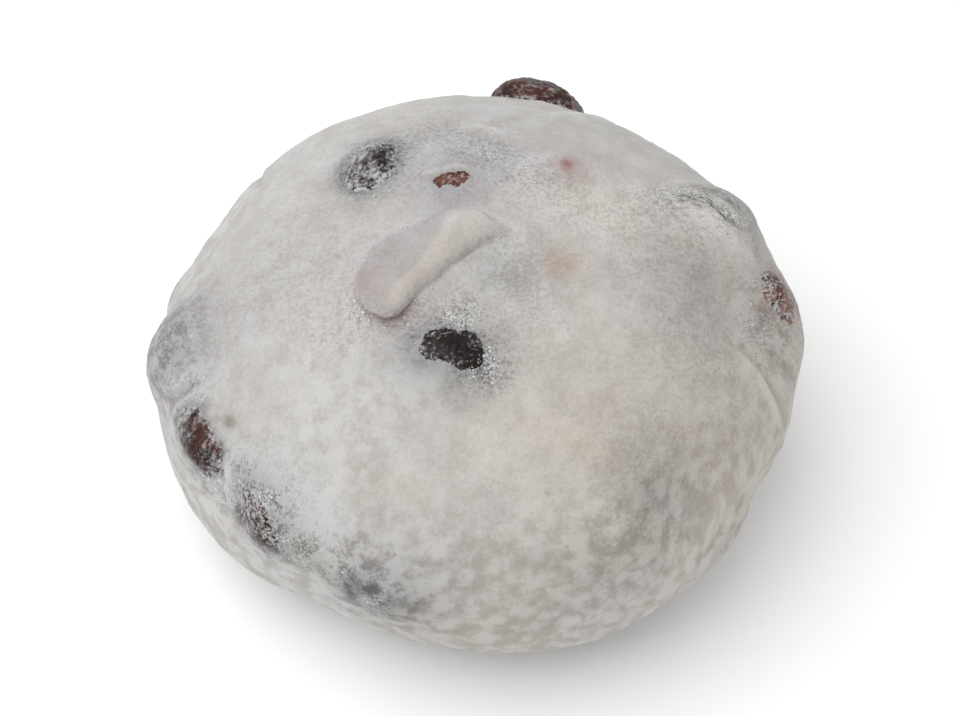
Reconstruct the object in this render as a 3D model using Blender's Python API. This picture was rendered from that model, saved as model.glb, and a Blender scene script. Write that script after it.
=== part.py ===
"""A round rice cake with whole cooked beans pressed into its soft skin.

It is a squat, slightly uneven dome that stands on its own weight on a flat foot. Beans lie just
under the skin all round it. Some only raise a bump, and some have broken through and show bare.
On top the skin was pinched shut, which left a short rounded fold lying over to one side.

Run it in Blender's text editor, or with blender --background --python part.py.
X runs across the cake, Y from its front to its back, Z up from the surface that it stands on.
Lengths are in millimetres and angles in degrees, until a mesh is written in metres.
"""

import math
from collections import namedtuple

import bmesh
import bpy
import numpy as np
from mathutils import Vector

METRES = 0.001

# Driving dimensions of the cake.
WIDTH = 62.4
DEPTH = 59.8
HEIGHT = 35.0
BELT = 14.0  # height of its widest level
FOOT_SINK = 3.0  # how far below the table its round underside would reach, had it not flattened
SIDE_POWER = 2.3  # 2 makes the profile an ellipse, and more makes its shoulder fuller
SKIN = 0.7  # skin over a bean
STRETCH = 2.6  # how far the skin bridges from a bean to the dough beside it
SOCKET_GAP = 0.3  # clearance between a bean and the dough round it

# A cooked bean: half its length, width and thickness.
BEAN_HALF = (4.9, 3.6, 3.3)
BEAN_NOTCH = 0.45  # depth of the dent on its straight side
BEAN_TAPER = 0.07  # how much plumper one end is

# Detail of the faceted solids.
DOUGH_ROUNDS = 5  # subdivisions of the dough's starting sphere
BEAN_SIDES = 14  # facets round a bean
BEAN_RINGS = 9  # facets from one end of it to the other
FINE_REACH = 9.5  # the fold's surroundings, out to here, are twice as fine
MARCH_STEPS = 26  # halvings when a ray looks for the surface
PROBE = 0.05  # step that finds which way the dome faces

# Where the dough is fuller (+) or flatter (-) than the plain dome:
# azimuth, latitude, reach (degrees) and amount. Azimuth 0 is right (+X) and 270 is the front.
Swell = namedtuple("Swell", "azimuth latitude reach amount")
SWELLS = [
    Swell(azimuth=240, latitude=-15, reach=20, amount=-1.8),
    Swell(azimuth=265, latitude=-15, reach=14, amount=-0.6),
    Swell(azimuth=160, latitude=20, reach=18, amount=-1.3),
    Swell(azimuth=330, latitude=-5, reach=18, amount=-1.8),
    Swell(azimuth=50, latitude=35, reach=20, amount=-0.3),
    Swell(azimuth=12, latitude=33, reach=14, amount=1.7),
    Swell(azimuth=300, latitude=72, reach=16, amount=-0.9),
]

# A bean lies under the point of the plain dome at that azimuth and latitude, its middle `sink`
# below it. yaw turns its length from due east towards the top, and pitch lifts its far end.
# The skin over it has dropped into the dough by `drop` and slid by (`east`, `north`): where that
# comes to more than SKIN, the bean shows bare.
Bean = namedtuple("Bean", "name azimuth latitude sink yaw pitch size drop east north")
BEANS = [
    Bean("bean_back", 77, 18, 0.7, 0, 6, 1.05, 3.0, 0, -1.0),
    Bean("bean_upper_left", 135, 55, 1.9, 33, 0, 1.02, 1.9, -0.5, 0),
    Bean("bean_slit", 103, 69, 1.85, 8, 0, 0.86, 0.70, -0.6, -1.6),
    Bean("bean_centre", 259, 57, 1.95, -4, 0, 0.93, 1.9, 0, 0),
    Bean("bean_left", 209, 16.5, 1.6, 0, 0, 0.95, 2.3, -0.3, 0),
    Bean("bean_lower_left", 228, 15, 1.8, -55, 0, 0.96, 1.5, 0.5, 0.7),
    Bean("bean_front", 252, 8, 2.2, -12, 0, 0.92, 1.25, 0, 0),
    Bean("bean_right", 0, 20, 2.0, 75, 0, 0.98, 1.1, -0.2, -1.5),
    Bean("bean_rear", 118, -2, 1.9, 20, 0, 1.00, 1.9, 0, 0),
    Bean("bean_rear_right", 47, -4, 1.9, -35, 0, 0.97, 1.8, 0, 0),
]
HIDDEN_BEANS = [
    Bean("left_edge", 188, 18, 2.4, 80, 0, 1.05, 0, 0, 0),
    Bean("upper_right", 14, 37, 2.2, 120, 0, 1.00, 0, 0, 0),
    Bean("top_red", 48, 57, 2.8, 60, 0, 0.90, 0, 0, 0),
    Bean("top_right", 348, 44, 3.3, 25, 0, 1.20, 0, 0, 0),
    Bean("front_right", 302, 22, 3.4, 50, 0, 1.15, 0, 0, 0),
    Bean("under_fold", 215, 64, 2.4, 50, 0, 0.80, 0, 0, 0),
    Bean("left_shoulder", 214, 27, 3.6, 10, 0, 0.90, 0, 0, 0),
    Bean("rear_left", 160, -4, 2.4, 60, 0, 1.05, 0, 0, 0),
    Bean("rear_middle", 88, -12, 2.8, -10, 0, 1.00, 0, 0, 0),
    Bean("right_low", 325, -8, 3.2, 15, 0, 1.00, 0, 0, 0),
]

# The pinched fold: points along its middle as offsets (x, y) from the cake's middle with the
# height of each above the plain dome, and its half thickness there.
FoldPoint = namedtuple("FoldPoint", "x y rise half")
FOLD = [
    FoldPoint(x=7.0, y=-1.0, rise=-1.0, half=0.9),
    FoldPoint(x=4.2, y=0.7, rise=-0.8, half=1.2),
    FoldPoint(x=1.0, y=1.6, rise=-0.6, half=1.6),
    FoldPoint(x=-2.0, y=0.6, rise=-0.5, half=1.9),
    FoldPoint(x=-4.8, y=-2.4, rise=-0.6, half=2.1),
    FoldPoint(x=-7.6, y=-5.6, rise=-0.8, half=2.6),
]
FOLD_MELT = 0.8  # how softly the fold runs into the dough

SKIN_COLOUR = (0.56, 0.53, 0.50)
BEAN_COLOUR = (0.045, 0.022, 0.021)

MIDDLE = np.array([0.0, 0.0, BELT])


def clear_scene():
    for obj in list(bpy.data.objects):
        bpy.data.objects.remove(obj)


def heading(azimuth, latitude):
    """Unit vector from the middle of the belt towards an azimuth and a latitude."""
    a, b = math.radians(azimuth), math.radians(latitude)
    return np.array([math.cos(a) * math.cos(b), math.sin(a) * math.cos(b), math.sin(b)])


def dome_radius(directions):
    """Distance from the middle of the belt to the plain dome, along unit vectors."""
    across = np.hypot(directions[:, 0] / (WIDTH / 2), directions[:, 1] / (DEPTH / 2))
    reach = np.where(directions[:, 2] > 0, HEIGHT - BELT, BELT + FOOT_SINK)
    upright = np.abs(directions[:, 2]) / reach
    radius = (across**SIDE_POWER + upright**SIDE_POWER) ** (-1 / SIDE_POWER)
    for swell in SWELLS:
        away = 1 - directions @ heading(swell.azimuth, swell.latitude)
        radius = radius + swell.amount * np.exp(-away / (1 - math.cos(math.radians(swell.reach))))
    return radius


def dome_distance(points):
    """Distance to the plain dome along the ray from the middle of the belt."""
    offset = points - MIDDLE
    far = np.linalg.norm(offset, axis=1)
    return far - dome_radius(offset / far[:, None])


def dome_frame(azimuth, latitude):
    """(point, east, north, out) of the plain dome at an azimuth and a latitude."""
    towards = heading(azimuth, latitude)
    point = MIDDLE + towards * dome_radius(towards[None])[0]
    steps = np.eye(3) * PROBE
    out = dome_distance(point + steps) - dome_distance(point - steps)
    out /= np.linalg.norm(out)
    east = np.cross((0, 0, 1), towards)
    east -= out * (east @ out)
    east /= np.linalg.norm(east)
    return point, east, np.cross(out, east), out


def bean_frame(bean):
    """(centre, axes) of a bean. The columns of axes are its length, width and thickness."""
    point, east, north, out = dome_frame(bean.azimuth, bean.latitude)
    yaw, pitch = math.radians(bean.yaw), math.radians(bean.pitch)
    flat = east * math.cos(yaw) + north * math.sin(yaw)
    length = flat * math.cos(pitch) + out * math.sin(pitch)
    width = np.cross(out, flat)
    return point - out * bean.sink, np.column_stack([length, width, np.cross(length, width)])


def cover_centre(bean):
    """Middle of the skin over a bean, which has dropped and slid off it."""
    centre, _ = bean_frame(bean)
    _, east, north, out = dome_frame(bean.azimuth, bean.latitude)
    return centre + east * bean.east + north * bean.north - out * bean.drop


def ellipsoid_distance(points, centre, axes, half):
    """Near enough the distance from points to an ellipsoid's surface, negative inside."""
    local = (points - centre) @ axes
    near = np.linalg.norm(local / half, axis=1)
    steep = np.linalg.norm(local / np.square(half), axis=1)
    return near * (near - 1) / np.maximum(steep, 1e-9)


def capsule_distance(points, start, end, start_half, end_half):
    """Distance to a round bar that tapers from one end to the other."""
    along = end - start
    share = np.clip((points - start) @ along / (along @ along), 0, 1)
    nearest = start + share[:, None] * along
    return np.linalg.norm(points - nearest, axis=1) - (start_half + share * (end_half - start_half))


def melt(a, b, softness):
    """The lesser of two distances, rounded off where they meet."""
    blend = np.clip(0.5 + 0.5 * (b - a) / softness, 0, 1)
    return b + (a - b) * blend - softness * blend * (1 - blend)


def fold_points():
    """The fold's middle line as (point, half thickness), with each point set off the dome."""
    found = []
    for point in FOLD:
        azimuth = math.degrees(math.atan2(point.y, point.x))
        latitude = math.degrees(math.atan2(HEIGHT - BELT, math.hypot(point.x, point.y)))
        middle, _, _, out = dome_frame(azimuth, latitude)
        found.append((middle + out * point.rise, point.half))
    return found


def skin_distance(points):
    """Distance to the cake's skin: the dome, drawn over each bean, and the fold on top."""
    distance = dome_distance(points)
    for bean in BEANS + HIDDEN_BEANS:
        half = np.array(BEAN_HALF) * bean.size + SKIN
        _, axes = bean_frame(bean)
        distance = melt(distance, ellipsoid_distance(points, cover_centre(bean), axes, half), STRETCH)
    line = fold_points()
    fold = np.full(len(points), np.inf)
    for (start, start_half), (end, end_half) in zip(line, line[1:]):
        fold = np.minimum(fold, capsule_distance(points, start, end, start_half, end_half))
    return melt(distance, fold, FOLD_MELT)


def skin_points(directions):
    """Where rays from the middle of the belt leave the skin, flattened where it meets the table."""
    near = 0.5 * dome_radius(directions)
    far = near * 2 + 9.0
    for _ in range(MARCH_STEPS):
        half_way = (near + far) / 2
        inside = skin_distance(MIDDLE + directions * half_way[:, None]) < 0
        near = np.where(inside, half_way, near)
        far = np.where(inside, far, half_way)
    points = MIDDLE + directions * near[:, None]
    points[:, 2] = np.maximum(points[:, 2], 0)
    return points


def material(name, colour, roughness, subsurface=0.0):
    made = bpy.data.materials.new(name)
    made.use_nodes = True
    shader = made.node_tree.nodes["Principled BSDF"]
    shader.inputs["Base Color"].default_value = (*colour, 1)
    shader.inputs["Roughness"].default_value = roughness
    shader.inputs["Metallic"].default_value = 0
    shader.inputs["Subsurface Weight"].default_value = subsurface
    return made


def object_from(bm, name, finish=None):
    """The bmesh as a named, smooth object in the scene."""
    mesh = bpy.data.meshes.new(name)
    bm.to_mesh(mesh)
    bm.free()
    mesh.shade_smooth()
    obj = bpy.data.objects.new(name, mesh)
    bpy.context.scene.collection.objects.link(obj)
    if finish:
        mesh.materials.append(finish)
    return obj


def fine_near_fold(bm):
    """Splits the sphere's edges on the rays that meet the fold."""
    fold_middle = np.mean([point for point, _ in fold_points()], axis=0) - MIDDLE
    spread = math.atan(FINE_REACH / np.linalg.norm(fold_middle))
    axis = Vector(fold_middle).normalized()
    chosen = [
        edge
        for edge in bm.edges
        if all(vert.co.normalized().angle(axis) < spread for vert in edge.verts)
    ]
    bmesh.ops.subdivide_edges(bm, edges=chosen, cuts=1)
    bmesh.ops.triangulate(bm, faces=bm.faces)


def rice_cake(finish):
    """The dough: a sphere whose points are carried out to the skin, with one flat foot."""
    bm = bmesh.new()
    bmesh.ops.create_icosphere(bm, subdivisions=DOUGH_ROUNDS, radius=1)
    fine_near_fold(bm)
    directions = np.array([vert.co.normalized() for vert in bm.verts])
    for vert, point in zip(bm.verts, skin_points(directions)):
        vert.co = Vector(point) * METRES
    foot = [face for face in bm.faces if all(vert.co.z == 0 for vert in face.verts)]
    bmesh.ops.dissolve_faces(bm, faces=foot)
    return object_from(bm, "rice_cake", finish)


def bean_shape(unit, half, notch):
    """A point of the unit sphere carried to a bean's surface, in the bean's own axes."""
    x, y, z = unit
    plump = 1 + BEAN_TAPER * x
    dent = notch * max(0.0, -y) * math.exp(-((x / 0.4) ** 2))
    return Vector((x * half[0], y * half[1] * plump + dent, z * half[2] * plump))


def bean_object(bean, name, grow=0.0, notch=BEAN_NOTCH, finish=None):
    """A bean in its place, grown all round by `grow`."""
    centre, axes = bean_frame(bean)
    half = [side * bean.size + grow for side in BEAN_HALF]
    bm = bmesh.new()
    bmesh.ops.create_uvsphere(bm, u_segments=BEAN_SIDES, v_segments=BEAN_RINGS, radius=1)
    for vert in bm.verts:
        unit = Vector((vert.co.z, vert.co.x, vert.co.y)).normalized()  # the poles are its ends
        local = bean_shape(unit, half, notch)
        vert.co = Vector(centre + axes @ np.array(local)) * METRES
    return object_from(bm, name, finish)


def cut_socket(dough, bean):
    """Hollows the dough round a bean, so that the two never touch."""
    cutter = bean_object(bean, bean.name + "_socket", grow=SOCKET_GAP, notch=0.0)
    cutter.hide_render = True
    cutter.display_type = "WIRE"
    socket = dough.modifiers.new(bean.name + "_socket", "BOOLEAN")
    socket.operation = "DIFFERENCE"
    socket.solver = "EXACT"
    socket.object = cutter


def main():
    clear_scene()
    skin = material("floured_skin", SKIN_COLOUR, roughness=0.75, subsurface=0.3)
    hull = material("bean_hull", BEAN_COLOUR, roughness=0.35)
    dough = rice_cake(skin)
    for bean in BEANS:
        bean_object(bean, bean.name, finish=hull)
        cut_socket(dough, bean)


main()
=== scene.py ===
import math

import bmesh
import bpy
import numpy as np
from mathutils import Matrix, Vector, noise


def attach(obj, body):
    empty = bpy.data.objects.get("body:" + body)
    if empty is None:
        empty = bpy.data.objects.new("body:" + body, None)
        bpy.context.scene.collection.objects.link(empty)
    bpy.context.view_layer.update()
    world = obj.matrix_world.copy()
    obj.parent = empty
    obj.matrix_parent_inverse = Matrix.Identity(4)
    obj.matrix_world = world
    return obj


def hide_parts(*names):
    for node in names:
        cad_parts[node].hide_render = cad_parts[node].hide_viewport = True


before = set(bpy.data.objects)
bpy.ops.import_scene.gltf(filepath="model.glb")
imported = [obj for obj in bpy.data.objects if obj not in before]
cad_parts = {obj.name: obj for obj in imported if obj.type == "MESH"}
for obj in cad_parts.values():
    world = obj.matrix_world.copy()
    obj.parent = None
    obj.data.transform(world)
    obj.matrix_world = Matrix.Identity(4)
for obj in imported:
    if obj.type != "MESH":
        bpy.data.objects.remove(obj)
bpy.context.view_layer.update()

mm = 0.001

# Lengths are in millimetres and angles in degrees until a mesh is written in metres.
# Azimuth 0 is right (+X) and 270 is the front. Latitude 90 is straight up.

domeSettings = {
    "width": 62.4,
    "depth": 59.8,
    "height": 35.0,
    "belt": 14.0,        # height of the widest level
    "footSink": 3.0,     # how much of the round underside the table has flattened
    "sidePower": 2.3,    # 2 is an ellipse, more has a fuller shoulder
    "skin": 0.7,         # skin over a bean
    "stretch": 2.6,      # how far the skin bridges from a bean to the dough beside it
    # azimuth, latitude, reach, amount: fuller (+) or flatter (-) than the plain dome
    "swells": [
        (240, -15, 20, -1.8),
        (265, -15, 14, -0.6),
        (160, 20, 18, -1.3),
        (330, -5, 18, -1.8),
        (50, 35, 20, -0.3),
        (12, 33, 14, 1.7),
        (300, 72, 16, -0.9),
    ],
}

# half length, width and thickness of a bean of size 1
beanHalf = (4.9, 3.6, 3.3)

# where each bean lies: sink is its middle's depth under the plain dome, and the skin over it has
# dropped and slid by drop, east and north
placeFields = ("azimuth", "latitude", "sink", "yaw", "pitch", "size", "drop", "east", "north")
bareBeans = {
    "bean_back": (77, 18, 0.7, 0, 6, 1.05, 4.4, 0, -1.6),
    "bean_upper_left": (135, 55, 1.9, 33, 0, 1.02, 1.9, -0.5, 0.7),
    "bean_slit": (103, 69, 1.85, 8, 0, 0.86, 0.70, -0.6, -1.6),
    "bean_centre": (259, 57, 1.95, -4, 0, 0.93, 1.9, 0, 0),
    "bean_left": (209, 16.5, 1.6, 0, 0, 0.95, 2.3, -0.3, 0),
    "bean_lower_left": (228, 15, 1.8, -55, 0, 0.96, 1.5, 0.5, 0.7),
    "bean_front": (252, 8, 2.2, -12, 0, 0.92, 1.25, 0, 0),
    "bean_right": (0, 20, 2.0, 75, 0, 0.98, 1.1, -0.2, -1.5),
    "bean_rear": (118, -2, 1.9, 20, 0, 1.00, 1.9, 0, 0),
    "bean_rear_right": (47, -4, 1.9, -35, 0, 0.97, 1.8, 0, 0),
}
coveredBeans = {
    "leftEdge": (188, 18, 2.4, 80, 0, 1.05, 0, 0, 0),
    "upperRight": (14, 37, 2.2, 120, 0, 1.00, 0, 0, 0),
    "topRed": (48, 57, 2.8, 60, 0, 0.90, 0, 0, 0),
    "topRight": (348, 44, 3.3, 25, 0, 1.20, 0, 0, 0),
    "frontRight": (302, 22, 3.4, 50, 0, 1.15, 0, 0, 0),
    "underFold": (215, 64, 2.4, 50, 0, 0.80, 0, 0, 0),
    "leftShoulder": (214, 27, 3.6, 10, 0, 0.90, 0, 0, 0),
    "rearLeft": (160, -4, 2.4, 60, 0, 1.05, 0, 0, 0),
    "rearMiddle": (88, -12, 2.8, -10, 0, 1.00, 0, 0, 0),
    "rightLow": (325, -8, 3.2, 15, 0, 1.00, 0, 0, 0),
}

# how each bean looks: how red its hull is, how much starch lies on it, how strongly it shows
# through the skin, how soft that shade's edge is and how red the shade is
lookFields = ("red", "starch", "shade", "blur", "blush")
beanLooks = {
    "bean_back": (1.0, 0.12, 0.60, 0.6, 0.0),
    "bean_upper_left": (0.15, 0.42, 0.95, 0.60, 0.0),
    "bean_slit": (1.7, -3.00, 0.30, 0.9, 0.1),
    "bean_centre": (0.15, -0.60, 0.95, 1.3, 0.0),
    "bean_left": (0.85, 0.30, 0.85, 0.5, 0.0),
    "bean_lower_left": (0.8, 0.34, 0.92, 0.8, 0.0),
    "bean_front": (0.2, 0.55, 0.85, 1.3, 0.0),
    "bean_right": (3.4, 0.25, 0.45, 0.9, 0.3),
    "bean_rear": (0.6, 0.45, 0.85, 0.7, 0.1),
    "bean_rear_right": (0.4, 0.55, 0.85, 0.7, 0.1),
    "leftEdge": (0, 0, 0.76, 1.5, 0.0),
    "upperRight": (0, 0, 0.76, 1.1, 0.0),
    "topRed": (0, 0, 0.10, 1.5, 1.0),
    "topRight": (0, 0, 0.50, 2.2, 0.0),
    "frontRight": (0, 0, 0.50, 2.2, 0.0),
    "underFold": (0, 0, 0.20, 1.5, 0.8),
    "leftShoulder": (0, 0, 0.20, 1.8, 0.1),
    "rearLeft": (0, 0, 0.55, 1.2, 0.1),
    "rearMiddle": (0, 0, 0.50, 1.2, 0.1),
    "rightLow": (0, 0, 0.30, 1.8, 0.1),
}

middle = np.array([0.0, 0.0, domeSettings["belt"]])


def heading(azimuth, latitude):
    a, b = math.radians(azimuth), math.radians(latitude)
    return np.array([math.cos(a) * math.cos(b), math.sin(a) * math.cos(b), math.sin(b)])


def bell(directions, azimuth, latitude, reach):
    away = (1 - directions @ heading(azimuth, latitude)) / (1 - math.cos(math.radians(reach)))
    return np.exp(-away)


def domeRadius(directions):
    s = domeSettings
    across = np.hypot(directions[:, 0] / (s["width"] / 2), directions[:, 1] / (s["depth"] / 2))
    reach = np.where(directions[:, 2] > 0, s["height"] - s["belt"], s["belt"] + s["footSink"])
    power = s["sidePower"]
    radius = (across**power + (np.abs(directions[:, 2]) / reach) ** power) ** (-1 / power)
    for azimuth, latitude, swellReach, amount in s["swells"]:
        radius = radius + amount * bell(directions, azimuth, latitude, swellReach)
    return radius


def domeDistance(points):
    offset = points - middle
    far = np.linalg.norm(offset, axis=1)
    return far - domeRadius(offset / far[:, None])


def domeFrame(azimuth, latitude):
    towards = heading(azimuth, latitude)
    point = middle + towards * domeRadius(towards[None])[0]
    steps = np.eye(3) * 0.05
    out = domeDistance(point + steps) - domeDistance(point - steps)
    out /= np.linalg.norm(out)
    east = np.cross((0, 0, 1), towards)
    east -= out * (east @ out)
    east /= np.linalg.norm(east)
    return point, east, np.cross(out, east), out


def placeBean(name, row):
    bean = dict(zip(placeFields, row)) | dict(zip(lookFields, beanLooks[name]))
    point, east, north, out = domeFrame(bean["azimuth"], bean["latitude"])
    turn, tip = math.radians(bean["yaw"]), math.radians(bean["pitch"])
    flat = east * math.cos(turn) + north * math.sin(turn)
    length = flat * math.cos(tip) + out * math.sin(tip)
    width = np.cross(out, flat)
    bean["centre"] = point - out * bean["sink"]
    bean["axes"] = np.column_stack([length, width, np.cross(length, width)])
    bean["half"] = np.array(beanHalf) * bean["size"]
    bean["cover"] = bean["centre"] + east * bean["east"] + north * bean["north"] - out * bean["drop"]
    return bean


placed = {name: placeBean(name, row) for name, row in (bareBeans | coveredBeans).items()}


def ellipsoidDistance(points, centre, axes, half):
    local = (points - centre) @ axes
    near = np.linalg.norm(local / half, axis=1)
    steep = np.linalg.norm(local / np.square(half), axis=1)
    return near * (near - 1) / np.maximum(steep, 1e-9)


def melt(a, b, softness):
    blend = np.clip(0.5 + 0.5 * (b - a) / softness, 0, 1)
    return b + (a - b) * blend - softness * blend * (1 - blend)


# The pinched fold on top, its points given as x, y across the cake's top.
foldSettings = {
    # then the rise above the plain dome and the half thickness
    "line": [
        (7.0, -1.0, -1.0, 0.9),
        (4.2, 0.7, -0.8, 1.2),
        (1.0, 1.6, -0.8, 1.6),
        (-2.0, 0.6, -0.9, 1.9),
        (-4.8, -2.4, -1.1, 2.1),
        (-7.6, -5.6, -1.3, 2.6),
    ],
    "melt": 1.0,        # how softly it runs into the dough
    # outline of the flap, anticlockwise, and how far its edge stands up there
    "outline": [
        (3.8, 0.2, 0.15),
        (1.6, 1.2, 0.3),
        (0.2, 2.2, 0.4),
        (-1.9, 3.2, 0.4),
        (-3.8, 2.7, 0.3),
        (-5.8, 1.2, 0.15),
        (-8.3, 0.3, 0.1),
        (-10.0, -1.4, 0.1),
        (-10.8, -3.9, 0.25),
        (-11.0, -5.5, 0.4),
        (-10.6, -7.3, 0.55),
        (-9.6, -8.5, 0.6),
        (-8.1, -9.1, 0.8),
        (-7.1, -9.0, 0.85),
        (-6.3, -8.2, 0.7),
        (-5.2, -6.6, 0.35),
        (-3.8, -5.2, 0.25),
        (-2.6, -3.3, 0.35),
        (-1.2, -2.1, 0.4),
        (0.2, -0.9, 0.3),
        (1.7, -0.1, 0.2),
    ],
    "fall": 1.8,        # how far the edge's rise takes to die away inwards
    "steep": 0.42,      # and how quickly it drops outwards
    "groove": 0.20,     # depth of the crease beside it
    "grooveWidth": 0.55,
    "overhang": 0.40,
    # the smooth pale roll along it, with its half width
    "roll": [
        (-0.6, 1.0, 2.7),
        (-1.8, -0.7, 1.7),
        (-3.2, -2.9, 1.15),
        (-4.7, -5.2, 1.05),
        (-6.5, -7.6, 1.3),
    ],
    "rollRise": 0.36,
}


def foldLine():
    found = []
    for x, y, rise, half in foldSettings["line"]:
        azimuth = math.degrees(math.atan2(y, x))
        latitude = math.degrees(math.atan2(domeSettings["height"] - domeSettings["belt"], math.hypot(x, y)))
        point, _, _, out = domeFrame(azimuth, latitude)
        found.append((point + out * rise, half))
    return found


def foldDistance(points):
    best = np.full(len(points), np.inf)
    line = foldLine()
    for (start, startHalf), (end, endHalf) in zip(line, line[1:]):
        along = end - start
        share = np.clip((points - start) @ along / (along @ along), 0, 1)
        nearest = start + share[:, None] * along
        distance = np.linalg.norm(points - nearest, axis=1) - (startHalf + share * (endHalf - startHalf))
        best = np.minimum(best, distance)
    return best


def skinDistance(points):
    distance = domeDistance(points)
    for bean in placed.values():
        half = bean["half"] + domeSettings["skin"]
        cover = ellipsoidDistance(points, bean["cover"], bean["axes"], half)
        distance = melt(distance, cover, domeSettings["stretch"])
    return melt(distance, foldDistance(points), foldSettings["melt"])


def skinPoints(directions):
    near = 0.5 * domeRadius(directions)
    far = near * 2 + 9.0
    for _ in range(16):
        halfWay = (near + far) / 2
        inside = skinDistance(middle + directions * halfWay[:, None]) < 0
        near = np.where(inside, halfWay, near)
        far = np.where(inside, far, halfWay)
    points = middle + directions * near[:, None]
    points[:, 2] = np.maximum(points[:, 2], 0)
    return points


def addObject(name, mesh, material):
    mesh.shade_smooth()
    obj = bpy.data.objects.new(name, mesh)
    bpy.context.scene.collection.objects.link(obj)
    mesh.materials.append(material)
    return obj


def vertexArray(mesh):
    values = np.zeros(len(mesh.vertices) * 3)
    mesh.vertices.foreach_get("co", values)
    return values.reshape(-1, 3)


def paint(mesh, name, colour):
    layer = mesh.color_attributes.new(name, "FLOAT_COLOR", "POINT")
    layer.data.foreach_set("color", np.clip(colour, 0, 2).ravel())


def noiseAt(points, size, octaves=3, seed=0.0):
    # fractal noise at each point, about -1 to 1, with features of that size
    shift = Vector((seed * 17.3, seed * 5.1, seed * 9.7))
    return np.array([noise.fractal(Vector(p) / size + shift, 0.9, 2.0, octaves) for p in points])


def smoothShare(value, low, high):
    t = np.clip((value - low) / (high - low), 0, 1)
    return t * t * (3 - 2 * t)


def alongLine(points, line):
    # distance to a line of points, and the line's further values at the nearest place
    line = np.array(line, float)
    across = points.shape[1]
    best = np.full(len(points), np.inf)
    values = np.zeros((len(points), line.shape[1] - across))
    for start, end in zip(line, line[1:]):
        along = end[:across] - start[:across]
        share = np.clip((points - start[:across]) @ along / (along @ along), 0, 1)
        distance = np.linalg.norm(points - start[:across] - share[:, None] * along, axis=1)
        nearer = distance < best
        best = np.where(nearer, distance, best)
        values = np.where(nearer[:, None], start[across:] + share[:, None] * (end - start)[across:], values)
    return best, values


def insideOutline(points, outline):
    inside = np.zeros(len(points), bool)
    x, y = points[:, 0], points[:, 1]
    for (startX, startY, _), (endX, endY, _) in zip(outline, outline[1:] + outline[:1]):
        crosses = (startY > y) != (endY > y)
        level = (y - startY) / ((endY - startY) or 1e-9)
        inside ^= crosses & (x < startX + level * (endX - startX))
    return inside


def outlineDistance(points):
    # distance inwards from the flap's edge, and how far the edge stands up there
    outline = foldSettings["outline"]
    distance, rise = alongLine(points, outline + outline[:1])
    return np.where(insideOutline(points, outline), distance, -distance), rise[:, 0]


def newGroup(name, inputs, outputs):
    group = bpy.data.node_groups.new(name, "ShaderNodeTree")
    for label, kind in inputs:
        group.interface.new_socket(name=label, in_out="INPUT", socket_type=kind)
    for label, kind in outputs:
        group.interface.new_socket(name=label, in_out="OUTPUT", socket_type=kind)
    return group, group.nodes.new("NodeGroupInput"), group.nodes.new("NodeGroupOutput")


def connect(tree, value, socket):
    if isinstance(value, bpy.types.NodeSocket):
        tree.links.new(value, socket)
    elif isinstance(value, tuple):
        socket.default_value = (*value, 1)
    else:
        socket.default_value = value


def addMath(tree, operation, first, second):
    node = tree.nodes.new("ShaderNodeMath")
    node.operation = operation
    connect(tree, first, node.inputs[0])
    connect(tree, second, node.inputs[1])
    return node.outputs[0]


def addRange(tree, value, low, high, toLow=0.0, toHigh=1.0):
    node = tree.nodes.new("ShaderNodeMapRange")
    node.interpolation_type = "SMOOTHSTEP"
    for label, bound in (("From Min", low), ("From Max", high), ("To Min", toLow), ("To Max", toHigh)):
        connect(tree, bound, node.inputs[label])
    connect(tree, value, node.inputs["Value"])
    return node.outputs["Result"]


def addMix(tree, share, first, second, blend="MIX"):
    node = tree.nodes.new("ShaderNodeMix")
    node.data_type = "RGBA"
    node.blend_type = blend
    for socket, value in ((node.inputs[0], share), (node.inputs[6], first), (node.inputs[7], second)):
        connect(tree, value, socket)
    return node.outputs[2]


def addNoise(tree, vector, scale, detail=3.0, roughness=0.5):
    # fractal noise less its middle, about -0.3 to 0.3
    node = tree.nodes.new("ShaderNodeTexNoise")
    tree.links.new(vector, node.inputs["Vector"])
    node.inputs["Scale"].default_value = scale
    node.inputs["Detail"].default_value = detail
    node.inputs["Roughness"].default_value = roughness
    return addMath(tree, "SUBTRACT", node.outputs["Fac"], 0.5)


def addAttribute(tree, name):
    node = tree.nodes.new("ShaderNodeAttribute")
    node.attribute_name = name
    return node


def addGroup(tree, group, **values):
    node = tree.nodes.new("ShaderNodeGroup")
    node.node_tree = group
    for label, value in values.items():
        connect(tree, value, node.inputs[label])
    return node


def addBump(tree, height, shader, distance):
    node = tree.nodes.new("ShaderNodeBump")
    node.inputs["Distance"].default_value = distance * mm
    tree.links.new(height, node.inputs["Height"])
    tree.links.new(node.outputs[0], shader.inputs["Normal"])


def newMaterial(name):
    material = bpy.data.materials.new(name)
    material.use_nodes = True
    return material, material.node_tree, material.node_tree.nodes["Principled BSDF"]


dustLook = {
    "blotchScale": 0.38,    # soft patches, per millimetre
    "blotchSpread": 1.2,
    "patchScale": 0.60,     # crisper patches low on the cake
    "patchSpread": 5.4,
    "grainScale": 2.6,      # fine speckle, per millimetre
    "grainSpread": 0.7,
    "speckleSpread": 5.5,
    "crumbScale": 4.8,      # the whitest crumbs
}


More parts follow.
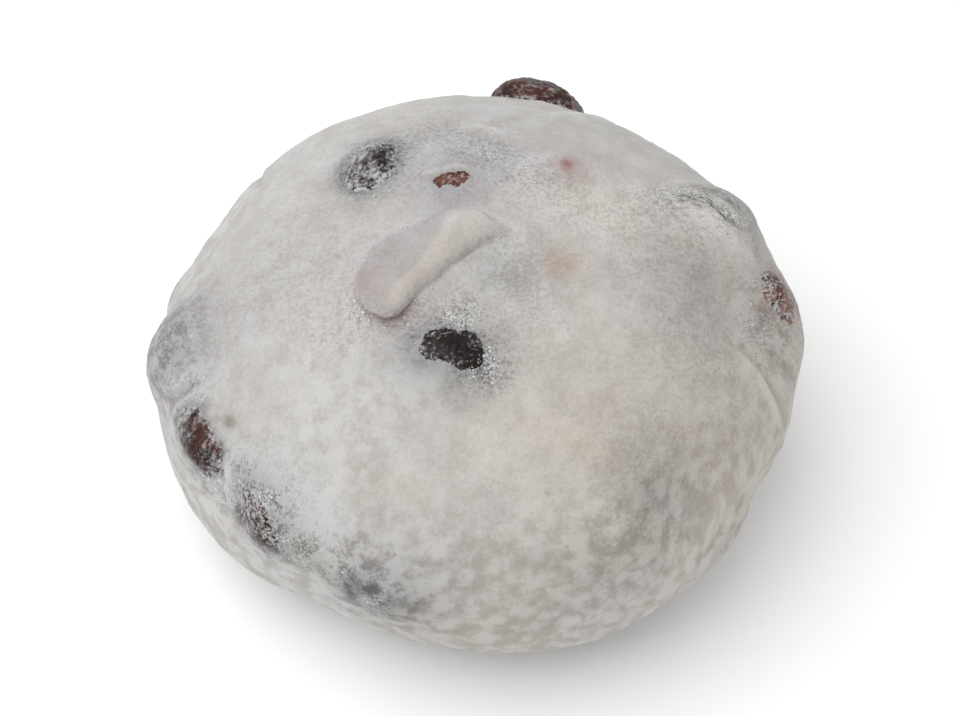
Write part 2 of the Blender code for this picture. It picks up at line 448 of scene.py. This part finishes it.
def starchDustGroup():
    # starch lies in soft patches, breaks up into fine speckle and gathers in white crumbs
    s = dustLook
    group, inside, outside = newGroup(
        "starchDust",
        [
            ("Vector", "NodeSocketVector"),
            ("Amount", "NodeSocketFloat"),
            ("Speckle", "NodeSocketFloat"),
            ("Patchy", "NodeSocketFloat"),
        ],
        [("Cover", "NodeSocketFloat"), ("Crumbs", "NodeSocketFloat"), ("Height", "NodeSocketFloat")],
    )
    vector, amount, speckle, patchy = inside.outputs[:4]
    blotch = addNoise(group, vector, s["blotchScale"], 5.0, 0.60)
    patch = addNoise(group, vector, s["patchScale"], 5.0, 0.55)
    grain = addNoise(group, vector, s["grainScale"], 3.0, 0.75)
    spread = addMath(group, "ADD", addMath(group, "MULTIPLY", speckle, s["speckleSpread"]), s["grainSpread"])
    reach = addMath(group, "MULTIPLY", patchy, s["patchSpread"])
    level = addMath(group, "ADD", amount, addMath(group, "MULTIPLY", blotch, s["blotchSpread"]))
    level = addMath(group, "ADD", level, addMath(group, "MULTIPLY", patch, reach))
    level = addMath(group, "ADD", level, addMath(group, "MULTIPLY", grain, spread))
    cover = addRange(group, level, 0.0, 1.0)
    crumb = addNoise(group, vector, s["crumbScale"], 2.0, 0.6)
    edge = addMath(group, "SUBTRACT", 0.215, addMath(group, "MULTIPLY", speckle, 0.22))
    edge = addMath(group, "SUBTRACT", edge, addMath(group, "MULTIPLY", blotch, 0.35))
    crumbs = addRange(group, crumb, edge, addMath(group, "ADD", edge, 0.08))
    height = addMath(group, "ADD", addMath(group, "MULTIPLY", cover, 0.6), crumbs)
    group.links.new(cover, outside.inputs["Cover"])
    group.links.new(crumbs, outside.inputs["Crumbs"])
    group.links.new(height, outside.inputs["Height"])
    return group


starchDust = starchDustGroup()

skinLook = {
    "skin": (0.360, 0.342, 0.318),
    "starch": (0.505, 0.500, 0.494),
    "crumbs": (0.69, 0.687, 0.685),
    # the gap colour is partly painted shade between the grains and partly the thin skin's own darkness there
    "gap": (0.09, 0.085, 0.085),
    "gaps": 0.6,        # how dark the skin looks between the grains where the starch is speckled
    "veil": 0.35,       # how much of a bean's shade the starch over it lets through
    "roughness": 0.55,
    "dustRoughness": 0.9,
    "subsurface": 0.3,
    "bump": 0.06,
}


def skinMaterial():
    s = skinLook
    material, tree, shader = newMaterial("flouredSkin")
    flow = addAttribute(tree, "flow").outputs["Vector"]
    starch = tree.nodes.new("ShaderNodeSeparateColor")
    tree.links.new(addAttribute(tree, "starch").outputs["Color"], starch.inputs[0])
    under = addAttribute(tree, "beanUnder")
    tintAndShade = addAttribute(tree, "tintAndShade").outputs["Color"]
    patchy = addAttribute(tree, "starch").outputs["Alpha"]
    amounts = {"Amount": starch.outputs[0], "Speckle": starch.outputs[1], "Patchy": patchy}
    dust = addGroup(tree, starchDust, Vector=flow, **amounts)
    cover = addMath(tree, "MULTIPLY", dust.outputs["Cover"], starch.outputs[2])
    # painted shade between the grains, together with the thin skin's darkness, where the starch is speckled
    gaps = addMath(tree, "MULTIPLY", starch.outputs[1], s["gaps"])
    colour = addMix(tree, gaps, s["skin"], s["gap"])
    colour = addMix(tree, under.outputs["Alpha"], colour, under.outputs["Color"])
    showing = addMath(tree, "MULTIPLY", under.outputs["Alpha"], s["veil"])
    veil = addMix(tree, showing, s["starch"], under.outputs["Color"])
    colour = addMix(tree, cover, colour, veil)
    # multiplies in the tints together with the painted shade of the creases, the hollow above the fold, the lower
    # edge and the flap's shadow
    colour = addMix(tree, 1.0, colour, tintAndShade, "MULTIPLY")
    colour = addMix(tree, addMath(tree, "MULTIPLY", dust.outputs["Crumbs"], 0.8), colour, s["crumbs"])
    tree.links.new(colour, shader.inputs["Base Color"])
    rough = addRange(tree, dust.outputs["Height"], 0.0, 0.6, s["roughness"], s["dustRoughness"])
    tree.links.new(rough, shader.inputs["Roughness"])
    shader.inputs["Specular IOR Level"].default_value = 0.35
    shader.inputs["Subsurface Weight"].default_value = s["subsurface"]
    shader.inputs["Subsurface Radius"].default_value = (1.0, 0.85, 0.7)
    shader.inputs["Subsurface Scale"].default_value = 0.7 * mm
    addBump(tree, dust.outputs["Height"], shader, s["bump"])
    return material


hullLook = {
    "black": (0.008, 0.0055, 0.006),
    "red": (0.060, 0.018, 0.013),
    "tan": (0.17, 0.072, 0.046),
    "starch": (0.48, 0.47, 0.475),
    "roughness": 0.33,
    "dustRoughness": 0.9,
    "bump": 0.05,
}


def hullMaterial():
    s = hullLook
    material, tree, shader = newMaterial("beanHull")
    flow = addAttribute(tree, "flow").outputs["Vector"]
    starch = tree.nodes.new("ShaderNodeSeparateColor")
    tree.links.new(addAttribute(tree, "starch").outputs["Color"], starch.inputs[0])
    mottled = addRange(tree, addNoise(tree, flow, 0.4, 3.0, 0.6), -0.10, 0.12, 0.25)
    red = addMath(tree, "MULTIPLY", mottled, addAttribute(tree, "red").outputs["Fac"])
    colour = addMix(tree, red, s["black"], s["red"])
    colour = addMix(tree, addMath(tree, "SUBTRACT", red, 1.0), colour, s["tan"])
    amounts = {"Amount": starch.outputs[0], "Speckle": starch.outputs[1], "Patchy": 0.3}
    dust = addGroup(tree, starchDust, Vector=flow, **amounts)
    colour = addMix(tree, addMath(tree, "MULTIPLY", dust.outputs["Cover"], 0.85), colour, s["starch"])
    tree.links.new(colour, shader.inputs["Base Color"])
    rough = addRange(tree, dust.outputs["Cover"], 0.0, 0.4, s["roughness"], s["dustRoughness"])
    tree.links.new(rough, shader.inputs["Roughness"])
    shader.inputs["Specular IOR Level"].default_value = 0.15
    addBump(tree, dust.outputs["Height"], shader, s["bump"])
    return material


def starchMaterial():
    material, tree, shader = newMaterial("starch")
    coordinates = tree.nodes.new("ShaderNodeTexCoord").outputs["Object"]
    shade = addRange(tree, addNoise(tree, coordinates, 1500), -0.2, 0.2)
    tree.links.new(addMix(tree, shade, (0.45, 0.446, 0.442), (0.55, 0.546, 0.542)), shader.inputs["Base Color"])
    shader.inputs["Roughness"].default_value = 0.9
    shader.inputs["Specular IOR Level"].default_value = 0.3
    return material


doughSettings = {
    "cuts": 127,        # each side of the starting cube is split this often
    "lift": 0.26,       # crowds the points towards the top
    "lumps": 0.24,      # height and size of the broad unevenness
    "lumpSize": 7.0,
    "knots": 0.10,      # height and size of the finer unevenness
    "knotSize": 2.2,
    "caking": 0.05,     # thickness of caked starch
    "black": (0.060, 0.060, 0.068),
    "red": (0.30, 0.10, 0.07),
}

# ridges (+) and creases (-) in the skin: width and height, then azimuths and latitudes along each
creases = {
    "leftRidgeUpper": (0.55, 0.42, [(196, 15), (198, 20), (199, 26)]),
    "leftCrease": (0.4, -0.38, [(197, 13), (200, 18), (202, 24)]),
    "leftRidgeLower": (0.55, 0.42, [(199, 14), (202, 20), (205, 26)]),
    "lowerLeftRidge": (0.6, 0.45, [(217, 21), (220, 16), (222, 10)]),
    "slitRidge": (0.40, 0.22, [(130, 66), (120, 68), (112, 69), (104, 69.5), (96, 70), (86, 70)]),
    "slit": (0.36, -0.50, [(125, 69.3), (114, 71), (108, 71.8), (102, 72), (91, 71.5)]),
    "rightDrape": (0.45, -0.25, [(344, 31), (343, 25), (343, 17), (344, 9), (346, 2)]),
    "rightDrapeRidge": (0.7, 0.22, [(342, 29), (341, 20), (341, 9)]),
    "rightDrapeOuter": (0.4, -0.28, [(348, 24), (350, 15), (352, 8), (353, 2)]),
    "rightTuck": (0.6, -0.16, [(2, 38), (358, 31), (354, 26), (350, 21)]),
    "shoulderCrack": (0.35, -0.50, [(23, 44), (16, 42), (10, 38), (8, 32)]),
    "shoulderBand": (0.6, 0.40, [(13, 46), (7, 41), (4, 35), (3, 27)]),
    "shoulderWrinkle": (0.4, -0.25, [(27, 40), (17, 38), (12, 33)]),
    "backFold": (0.6, 0.25, [(100, 52), (88, 50), (76, 53)]),
    "rearTuckLeft": (0.6, -0.35, [(150, 30), (140, 18), (136, 4)]),
    "rearTuckRight": (0.7, 0.30, [(70, 40), (62, 26), (60, 10)]),
    "rearCrease": (0.5, -0.30, [(98, 26), (101, 14), (100, 2)]),
}

# azimuth, latitude and reach, then more (+) or less (-) starch, speckle and cover there
dustSpots = [
    (104, 54, 9, 0.05, 0.45, 0.0),
    (84, 62, 6, 0.00, 0.55, 0.0),
    (60, 67, 7, 0.10, 0.40, 0.0),
    (135, 58, 7, 0.10, 0.50, 0.0),
    (129, 49, 4, 0.35, 0.40, 0.0),
    (140, 61, 3.5, 0.35, 0.10, 0.0),
    (14, 55, 6, 0.05, 0.20, 0.0),
    (20, 44, 5, 0.05, 0.62, 0.0),
    (10, 38, 6, 0.05, 0.55, 0.0),
    (5, 38, 5, 0.45, 0.25, 0.0),
    (3, 30, 5, 0.40, 0.30, 0.0),
    (261, 66, 5.0, 0.50, 1.00, 0.1),
    (253, 50, 4.0, 0.30, -0.10, 0.1),
    (274, 54, 4.5, 0.20, 0.95, 0.0),
    (220, 57, 5, 0.12, 0.50, 0.0),
    (200, 66, 6, 0.08, 0.32, 0.0),
    (238, 62, 6, 0.05, 0.20, 0.0),
    (190, 20, 8, 0.00, 0.30, 0.0),
    (202, 21, 4, 0.30, 0.30, 0.0),
    (216, 50, 7, 0.0, 0.30, 0.0),
    (216, 13, 5, 0.35, 0.80, 0.0),
    (228, 17, 7, 0.22, 0.75, 0.0),
    (231, 10, 3, -0.30, 0.20, 0.0),
    (226, 24, 7, 0.30, 0.05, 0.1),
    (240, 19, 8, 0.30, 0.05, 0.1),
    (239, 12, 5, 0.05, 0.45, 0.0),
    (250, 10, 8, 0.05, 0.22, 0.0),
    (349, 31, 4, 0.25, 0.15, 0.0),
    (350, 24, 5, 0.0, 0.50, 0.0),
    (1, 22, 4, 0.10, 0.45, 0.0),
    (356, 14, 6, 0.05, 0.35, 0.0),
    (356, 15.5, 2.6, 0.90, 0.10, 0.0),
    (320, 74, 7, -0.25, -0.05, -0.2),
    (300, 45, 20, -0.05, 0.0, -0.1),
    (225, 42, 16, 0.10, -0.05, 0.0),
    (302, 20, 8, 0.0, 0.08, 0.0),
    (30, 66, 8, 0.05, 0.25, 0.0),
    (300, 62, 9, 0.05, 0.12, 0.0),
    (185, 45, 14, 0.0, 0.15, 0.0),
    (315, 76, 9, 0.05, 0.34, 0.1),
    (335, 30, 14, 0.0, 0.12, 0.0),
    (77, 24, 8, 0.08, 0.40, 0.0),
    (118, -2, 9, 0.10, 0.50, 0.0),
    (47, -4, 9, 0.10, 0.50, 0.0),
]

# azimuth, latitude and reach, then what the skin's colour is multiplied by there; some entries are painted shade,
# marked below
tintsAndShades = [
    (341, 68, 4.5, (0.90, 0.76, 0.69)),
    (46, 60, 1.8, (0.72, 0.46, 0.42)),
    (44, 59, 4.5, (0.84, 0.77, 0.78)),
    (285, 29, 0.5, (0.70, 0.68, 0.55)),
    (6, 37, 6, (1.20, 1.20, 1.19)),
    (214, 25, 1.4, (0.60, 0.62, 0.52)),
    (237, 12, 2.0, (0.64, 0.64, 0.56)),
    (241, 9, 2.0, (0.66, 0.66, 0.60)),
    (248, 9, 2.2, (0.68, 0.68, 0.68)),
    (257, 8, 1.6, (0.66, 0.66, 0.66)),
    (303, 24, 3.5, (0.82, 0.82, 0.83)),
    (268, 50, 5, (0.93, 0.93, 0.935)),
    (2, 22, 3.5, (0.95, 0.76, 0.64)),
    (258, 20, 1.5, (0.85, 0.85, 0.78)),
    (246, 25, 1.5, (0.85, 0.85, 0.78)),
    (233, 20, 9, (1.05, 1.06, 1.07)),
    (330, 15, 40, (1.055, 1.005, 0.93)),
    (288, 38, 20, (1.13, 1.105, 1.065)),
    (19, 58, 12, (1.18, 1.16, 1.125)),
    # painted shade: darker along the lower front edge
    (270, 0, 18, (0.90, 0.885, 0.855)),
    (190, 25, 20, (0.91, 0.91, 0.93)),
    (225, 42, 22, (1.04, 1.04, 1.04)),
    (100, 60, 22, (0.92, 0.92, 0.94)),
    # painted shade: darker, a little lilac, in the hollow above the fold's crest
    (116, 76, 5, (0.88, 0.87, 0.90)),
    (130, 76, 8, (0.93, 0.92, 0.95)),
    (318, 72, 10, (0.95, 0.957, 0.967)),
    (288, 79, 5, (0.87, 0.88, 0.89)),
]

# azimuth, latitude and reach, then the yaw along which the starch is drawn out, and how much
streaks = [
    (14, 41, 11, 39, 0.75),
    (135, 55, 9, 33, 0.7),
    (200, 19, 8, 78, 0.7),
    (228, 15, 8, 125, 0.25),
    (345, 14, 14, 100, 0.7),
    (318, 8, 16, 90, 0.6),
    (77, 18, 10, 10, 0.7),
]


def flowAmounts(points):
    # places to read the starch's pattern at, squeezed along the streaks
    flow = points.copy()
    directions = points - middle
    directions /= np.linalg.norm(directions, axis=1)[:, None]
    for azimuth, latitude, reach, yaw, share in streaks:
        place, east, north, _ = domeFrame(azimuth, latitude)
        along = east * math.cos(math.radians(yaw)) + north * math.sin(math.radians(yaw))
        weight = bell(directions, azimuth, latitude, reach) * share
        flow -= (weight * ((points - place) @ along))[:, None] * along
    return flow


def addFlow(mesh, points):
    layer = mesh.attributes.new("flow", "FLOAT_VECTOR", "POINT")
    layer.data.foreach_set("vector", flowAmounts(points).ravel())


def foldRelief(points):
    # how far the flap stands up, how far its edge hangs over, then its roll, smoothness, shadow and rim
    s = foldSettings
    top = smoothShare(points[:, 2], 29, 32)
    distance, rise = outlineDistance(points[:, :2])
    rise = rise * top
    inwards, outwards = np.maximum(distance, 0), np.maximum(-distance, 0)
    within = distance > 0
    behind = rise * (1 - np.exp(-inwards / s["steep"])) * np.exp(-inwards / s["fall"])
    front = -s["groove"] * np.minimum(rise * 1.2, 1) * np.exp(-((outwards / s["grooveWidth"]) ** 2))
    hang = within * s["overhang"] * rise * np.exp(-((inwards / 0.7) ** 2))
    roll, half = alongLine(points[:, :2], s["roll"])
    shape = np.exp(-((roll / half[:, 0]) ** 4)) * top
    inner = smoothShare(distance, -0.1, 0.5)
    lift = np.where(within, behind, front) + s["rollRise"] * shape * inner
    smooth = smoothShare(distance, -0.4, 0.6) * top
    shadow = np.minimum(rise * 1.3, 1) ** 2 * np.exp(-((distance / (0.3 + 0.8 * rise)) ** 2)) * (distance < 0.1)
    rim = np.exp(-(((distance + 0.2) / 0.5) ** 2)) * top
    return lift, hang, shape * inner, smooth, shadow, rim


def foldOutwards(points):
    # unit vectors across the flap's edge, pointing away from the flap
    step = 0.05
    columns = []
    for axis in range(2):
        shift = np.zeros(2)
        shift[axis] = step
        ahead, _ = outlineDistance(points[:, :2] + shift)
        before, _ = outlineDistance(points[:, :2] - shift)
        columns.append((before - ahead) / (2 * step))
    columns.append(np.zeros(len(points)))
    return np.clip(np.column_stack(columns), -1, 1)


def creaseRelief(directions):
    reach = 29.0
    lift = np.zeros(len(directions))
    for width, height, line in creases.values():
        places = [heading(*place) * reach for place in line]
        distance, _ = alongLine(directions * reach, places)
        first = np.linalg.norm(directions * reach - places[0], axis=1)
        last = np.linalg.norm(directions * reach - places[-1], axis=1)
        fade = smoothShare(np.minimum(first, last), 0.0, 2.5)
        lift += height * np.exp(-((distance / width) ** 2)) * fade
    return lift


def underShade(points):
    # the shade of the beans under the skin, and how strongly it shows
    s = doughSettings
    black, red = np.array(s["black"]), np.array(s["red"])
    shade = np.zeros((len(points), 3))
    clear = np.ones(len(points))
    weight = np.full(len(points), 1e-6)
    for bean in placed.values():
        depth = ellipsoidDistance(points, bean["centre"], bean["axes"], bean["half"])
        seen = bean["shade"] * np.exp(-np.maximum(depth - 0.15, 0) / bean["blur"])
        shade += seen[:, None] * (black + (red - black) * bean["blush"])
        weight += seen
        clear *= 1 - seen
    return np.column_stack([shade / weight[:, None], 1 - clear])


def starchAmounts(points, directions, folds, smooth, rim):
    low = 1 - smoothShare(points[:, 2], 12, 27)
    mosaic = 1 - smoothShare(points[:, 2], 20, 31)
    mosaic = np.maximum(mosaic, 0.6 * bell(directions, 238, 36, 16))
    amount = 0.58 + 0.02 * low + 0.12 * noiseAt(points, 9.0, 2, 6) + 0.7 * folds
    speckle = 0.09 - 0.07 * low + 0.05 * noiseAt(points, 8.0, 2, 5)
    cover = 0.75 + 0.20 * low
    for azimuth, latitude, reach, moreStarch, moreSpeckle, moreCover in dustSpots:
        share = bell(directions, azimuth, latitude, reach)
        amount += moreStarch * share
        speckle += moreSpeckle * share
        cover += moreCover * share
    amount -= 0.2 * smooth - 0.45 * rim
    speckle = speckle * (1 - 0.7 * smooth) + 0.10 * smooth
    cover = np.clip(cover, 0, 1) * (1 - 0.35 * smooth)
    return np.column_stack([amount, speckle + 0.3 * rim, cover, 0.06 + 0.60 * mosaic])


def tintAndShadeAmounts(points, directions, folds, roll, smooth, shadow):
    # the skin's tints, with painted shade: crease shade, the flap's shadow and the darker places marked in the
    # table
    colour = np.ones((len(points), 4))
    # painted shade: darker in the creases; the ridges are lighter where the starch is rubbed
    colour[:, :3] += 0.35 * folds[:, None]
    colour[:, :3] += 0.05 * noiseAt(points, 11.0, 2, 14)[:, None]
    colour[:, :3] += np.outer(noiseAt(points, 7.0, 2, 15), (0.0, -0.009, -0.037))
    for azimuth, latitude, reach, tintAndShade in tintsAndShades:
        colour[:, :3] *= 1 + (np.array(tintAndShade) - 1) * bell(directions, azimuth, latitude, reach)[:, None]
    lobe = smooth * bell(directions, 207, 60, 4.5)
    flapTintsAndShadow = [
        (smooth - roll, (0.95, 0.94, 0.98)),
        (roll, (1.20, 1.18, 1.15)),
        (lobe, (0.88, 0.81, 0.83)),
        (shadow, (0.62, 0.51, 0.48)),
    ]
    for share, tintAndShade in flapTintsAndShadow:
        colour[:, :3] *= 1 + (np.array(tintAndShade) - 1) * np.maximum(share, 0)[:, None]
    return colour


def makeDough(material):
    s = doughSettings
    bm = bmesh.new()
    bmesh.ops.create_cube(bm, size=2)
    bmesh.ops.subdivide_edges(bm, edges=bm.edges, cuts=s["cuts"], use_grid_fill=True)
    mesh = bpy.data.meshes.new("dough")
    bm.to_mesh(mesh)
    bm.free()
    cube = np.tan(vertexArray(mesh) * math.pi / 4)  # evens out the squares
    directions = cube / np.linalg.norm(cube, axis=1)[:, None]
    directions[:, 2] += s["lift"] * (1 - directions[:, 2] ** 2)
    directions /= np.linalg.norm(directions, axis=1)[:, None]
    points = skinPoints(directions)
    footing = smoothShare(points[:, 2], 0.3, 4.0)
    flap, hang, roll, smooth, shadow, rim = foldRelief(points)
    folds = creaseRelief(directions)
    starch = starchAmounts(points, directions, folds, smooth, rim)
    tintAndShade = tintAndShadeAmounts(points, directions, folds, roll, smooth, shadow)
    relief = s["lumps"] * noiseAt(points, s["lumpSize"], 2, 1)
    relief += s["knots"] * noiseAt(points, s["knotSize"], 3, 2) * (1 - smooth)
    relief += s["caking"] * starch[:, 0] * noiseAt(points, 0.9, 2, 3) * (1 - smooth)
    relief += folds + flap
    points = points + directions * (relief * footing)[:, None] + foldOutwards(points) * hang[:, None]
    points[:, 2] = np.maximum(points[:, 2], 0)
    mesh.vertices.foreach_set("co", (points * mm).ravel())
    mesh.update()
    addFlow(mesh, points)
    paint(mesh, "beanUnder", underShade(points))
    paint(mesh, "starch", starch)
    paint(mesh, "tintAndShade", tintAndShade)
    return addObject("dough", mesh, material)


beanSettings = {
    "rounds": 6,
    "notch": 0.45,
    "taper": 0.07,
    "wrinkle": 0.10,
    "wrinkleSize": 1.2,
    "lumps": 0.10,
}


def makeBean(name, material):
    s = beanSettings
    bean = placed[name]
    bm = bmesh.new()
    bmesh.ops.create_icosphere(bm, subdivisions=s["rounds"], radius=1)
    mesh = bpy.data.meshes.new(name + "_hull")
    bm.to_mesh(mesh)
    bm.free()
    unit = vertexArray(mesh)
    unit /= np.linalg.norm(unit, axis=1)[:, None]
    plump = 1 + s["taper"] * unit[:, 0]
    local = unit * bean["half"]
    dent = s["notch"] * np.maximum(0, -unit[:, 1]) * np.exp(-((unit[:, 0] / 0.4) ** 2))
    local[:, 1] = local[:, 1] * plump + dent
    local[:, 2] *= plump
    seed = bean["centre"][0]
    folds = 1 - 3 * np.abs(noiseAt(local * (1.5, 0.5, 0.5), s["wrinkleSize"] * 1.6, 3, seed))
    local -= unit * (s["wrinkle"] * np.maximum(folds, 0))[:, None]
    local += unit * (s["lumps"] * noiseAt(local, 2.2, 2, seed + 3))[:, None]
    points = bean["centre"] + local @ bean["axes"].T
    mesh.vertices.foreach_set("co", (points * mm).ravel())
    mesh.update()
    edge = 1 - smoothShare(skinDistance(points), 0.0, 0.5)
    starch = np.ones((len(points), 4))
    starch[:, 0] = bean["starch"] - 0.2 + 0.35 * edge + 0.3 * noiseAt(points, 3.0, 2, 8)
    starch[:, 1] = 0.15 + 0.6 * edge
    directions = (points - middle) / np.linalg.norm(points - middle, axis=1)[:, None]
    for azimuth, latitude, reach, moreStarch, moreSpeckle, _ in dustSpots:
        share = bell(directions, azimuth, latitude, reach)
        starch[:, 0] += moreStarch * share
        starch[:, 1] += 0.4 * moreSpeckle * share
    addFlow(mesh, points)
    paint(mesh, "starch", starch)
    redness = mesh.attributes.new("red", "FLOAT", "POINT")
    redness.data.foreach_set("value", np.full(len(points), bean["red"]))
    return addObject(name + "_hull", mesh, material)


grainSettings = {
    "grains": 7500,
    "grainRadius": (0.03, 0.08),
    "crumbs": 800,
    "crumbRadius": (0.05, 0.12),
}


def surfaceSamples(objects, count, rng):
    # points spread over the meshes by area, gathered in drifts where the starch is speckled
    centres, normals, weights = [], [], []
    for obj in objects:
        mesh = obj.data
        sides = len(mesh.polygons)
        centre, normal, area = np.zeros(sides * 3), np.zeros(sides * 3), np.zeros(sides)
        mesh.polygons.foreach_get("center", centre)
        mesh.polygons.foreach_get("normal", normal)
        mesh.polygons.foreach_get("area", area)
        colour = np.zeros(len(mesh.vertices) * 4)
        mesh.color_attributes["starch"].data.foreach_get("color", colour)
        first = np.zeros(len(mesh.loops), int)
        mesh.loops.foreach_get("vertex_index", first)
        start = np.zeros(sides, int)
        mesh.polygons.foreach_get("loop_start", start)
        starch = np.clip(colour.reshape(-1, 4)[first[start]], 0, 1)
        centre = centre.reshape(-1, 3)
        drift = np.exp(4 * noiseAt(centre / mm, 2.0, 2, 11))
        centres.append(centre)
        normals.append(normal.reshape(-1, 3))
        strewn = np.maximum(starch[:, 0] * starch[:, 1] - 0.09, 0.001)
        weights.append(area * drift * strewn * (centre[:, 2] > 0.5 * mm))
    centres, normals, weights = np.vstack(centres), np.vstack(normals), np.concatenate(weights)
    chosen = rng.choice(len(centres), size=count, p=weights / weights.sum())
    jitter = rng.normal(0, 0.15 * mm, (count, 3))
    jitter -= normals[chosen] * np.sum(jitter * normals[chosen], axis=1)[:, None]
    return centres[chosen] + jitter, normals[chosen]


def scatter(name, objects, count, radii, rounds, seed, material):
    rng = np.random.default_rng(seed)
    points, normals = surfaceSamples(objects, count, rng)
    whole = bmesh.new()
    part = bpy.data.meshes.new(name + "_part")
    for first in range(0, count, 100):
        bm = bmesh.new()
        for point, normal in zip(points[first:first + 100], normals[first:first + 100]):
            radius = (radii[0] + (radii[1] - radii[0]) * rng.uniform(0, 1) ** 2) * mm
            turn = Vector(normal).to_track_quat("Z", "Y").to_matrix().to_4x4()
            spin = Matrix.Rotation(rng.uniform(0, math.tau), 4, "Z") @ Matrix.Rotation(rng.normal(0, 0.4), 4, "X")
            shape = Matrix.Diagonal((radius * rng.uniform(1, 1.8), radius, radius * rng.uniform(0.4, 0.8), 1))
            place = Matrix.Translation(Vector(point + normal * radius * 0.2)) @ turn @ spin @ shape
            bmesh.ops.create_icosphere(bm, subdivisions=rounds, radius=1, matrix=place)
        bm.to_mesh(part)
        bm.free()
        whole.from_mesh(part)
    mesh = bpy.data.meshes.new(name)
    whole.to_mesh(mesh)
    whole.free()
    return addObject(name, mesh, material)


studioSettings = {
    "lens": 100,
    "elevation": 52,
    "distance": 261,
    "aim": (0.3, 1.3, 15.0),
    "floor": (0.90, 0.90, 0.90),
    "world": 0.75,
    "key": ((-0.26, -0.04, 0.55), 0.70, 3.2),
    "fill": ((0.05, -0.50, 0.35), 0.60, 0.15),
}


def addLight(name, place, size, power):
    light = bpy.data.lights.new(name, "AREA")
    light.size = size
    light.energy = power
    obj = bpy.data.objects.new(name, light)
    obj.location = place
    obj.rotation_euler = (Vector(place) - Vector((0, 0, 0.015))).to_track_quat("Z", "Y").to_euler()
    bpy.context.scene.collection.objects.link(obj)


def makeStudio():
    s = studioSettings
    rise = math.radians(s["elevation"])
    back = Vector((0, -math.cos(rise), math.sin(rise)))
    camera = bpy.data.cameras.new("camera")
    camera.lens = s["lens"]
    camera.clip_start = 0.01
    eye = bpy.data.objects.new("camera", camera)
    eye.location = (Vector(s["aim"]) + back * s["distance"]) * mm
    eye.rotation_euler = back.to_track_quat("Z", "Y").to_euler()
    bpy.context.scene.collection.objects.link(eye)
    bpy.context.scene.camera = eye

    bm = bmesh.new()
    bmesh.ops.create_grid(bm, x_segments=1, y_segments=1, size=1.5)
    mesh = bpy.data.meshes.new("floor")
    bm.to_mesh(mesh)
    bm.free()
    material, tree, shader = newMaterial("paleFloor")
    shader.inputs["Base Color"].default_value = (*s["floor"], 1)
    shader.inputs["Roughness"].default_value = 0.9
    shader.inputs["Specular IOR Level"].default_value = 0.1
    addObject("floor", mesh, material)

    world = bpy.data.worlds.new("studio")
    world.use_nodes = True
    world.node_tree.nodes["Background"].inputs[0].default_value = (1, 1, 1, 1)
    world.node_tree.nodes["Background"].inputs[1].default_value = s["world"]
    bpy.context.scene.world = world
    addLight("key", *s["key"])
    addLight("fill", *s["fill"])
    bpy.context.scene.view_settings.view_transform = "Standard"


makeStudio()
print("studio ready")
skinFinish, hullFinish, starchFinish = skinMaterial(), hullMaterial(), starchMaterial()
dough = makeDough(skinFinish)
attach(dough, "root")
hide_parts("rice_cake")
print("dough shaped")
hulls = []
for name in bareBeans:
    hull = makeBean(name, hullFinish)
    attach(hull, "root")
    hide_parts(name)
    hulls.append(hull)
print("beans laid")
s = grainSettings
grains = scatter("starch_grains", [dough] + hulls, s["grains"], s["grainRadius"], 1, 4, starchFinish)
crumbs = scatter("starch_crumbs", [dough], s["crumbs"], s["crumbRadius"], 2, 5, starchFinish)
for piece in (grains, crumbs):
    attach(piece, "root")
print("starch scattered")
